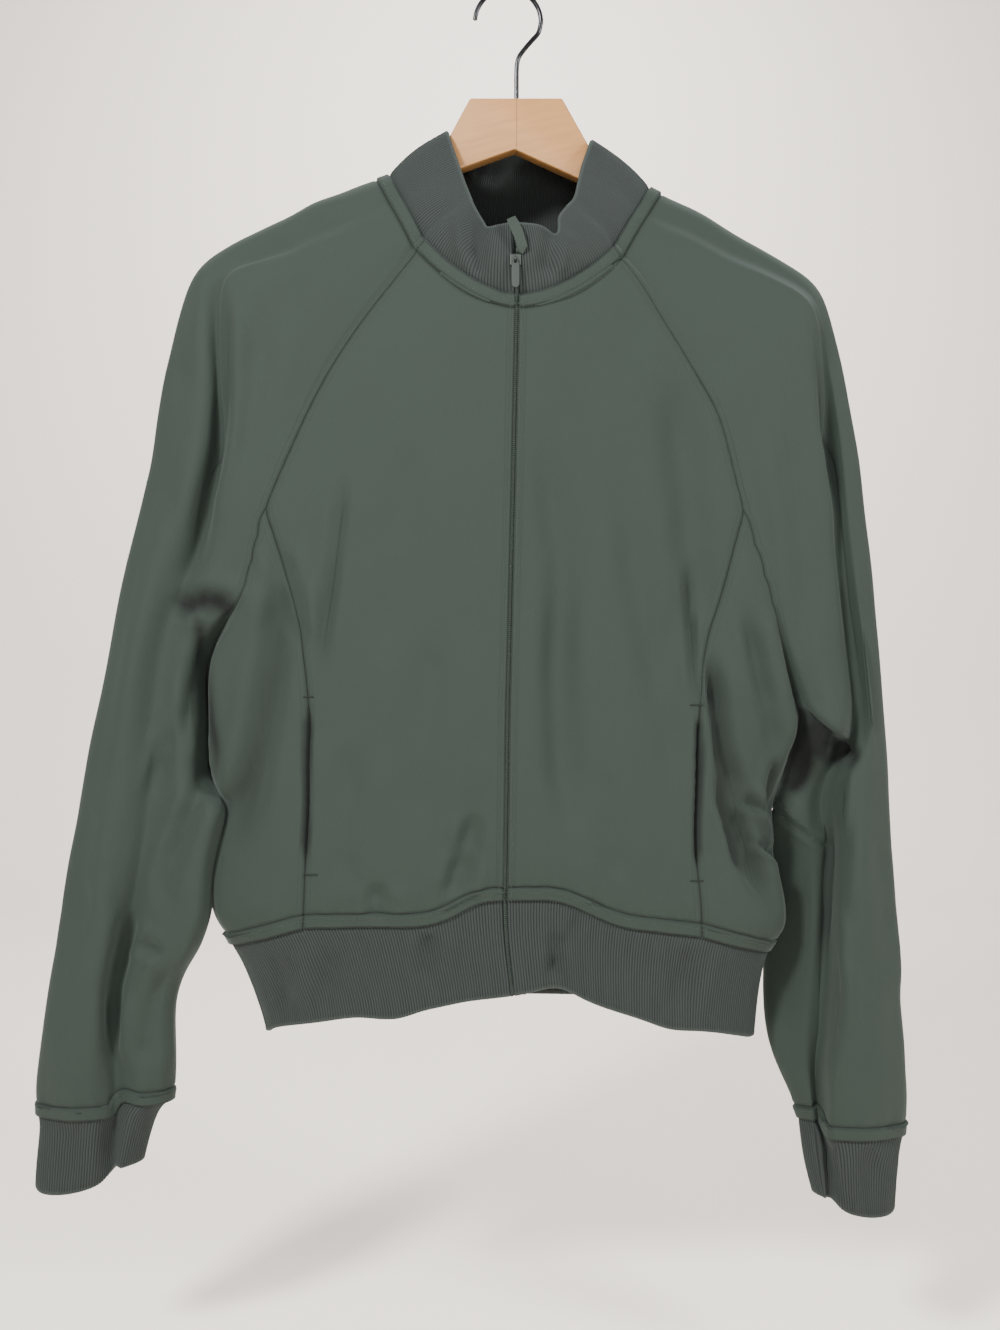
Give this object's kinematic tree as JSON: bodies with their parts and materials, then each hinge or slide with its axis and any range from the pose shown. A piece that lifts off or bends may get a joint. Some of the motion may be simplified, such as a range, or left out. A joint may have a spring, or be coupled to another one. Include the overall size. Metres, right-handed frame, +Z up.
{
  "type": "track jacket on a hanger",
  "caption": "Zip-front track jacket with raglan sleeves, curved side panels, ribbed stand collar, cuffs and hem band, hung on a wooden hanger with a steel hook.",
  "frame": {"origin": "inside crest of the hanger's hook, where it rests on a rail", "axes": "+X to the right of someone who faces the jacket's front, +Y from the front to the back, +Z up"},
  "size_m": [0.6221, 0.1266, 0.8725],
  "materials": {
    "shell_cloth": "smooth double knit, matt",
    "rib_knit": "fine rib knit, matt",
    "zip_tape": "woven tape with coil teeth",
    "zip_metal": "satin grey-green enamel",
    "hanger_wood": "pale wood, thin satin varnish",
    "hook_steel": "dark polished steel"
  },
  "bodies": {
    "jacket": {"front_left": "shell_cloth", "front_right": "shell_cloth", "side_left": "shell_cloth", "side_right": "shell_cloth", "back": "shell_cloth", "sleeve_left": "shell_cloth", "sleeve_right": "shell_cloth", "collar": "rib_knit", "hem_band": "rib_knit", "cuff_left": "rib_knit", "cuff_right": "rib_knit", "zip_chain": "zip_tape", "zip_tape_end": "zip_tape", "zip_box": "zip_metal", "zip_slider": "zip_metal", "hanger_wood": "hanger_wood", "hanger_hook": "hook_steel"},
    "pull": {"zip_pull": "zip_metal"}
  },
  "joints": [
    {"name": "pull_hinge", "type": "hinge", "parent": "jacket", "child": "pull", "pos_m": [0.00459, -0.07126, -0.213], "axis": [-1, 0, 0], "range_deg": [0, 150]}
  ]
}
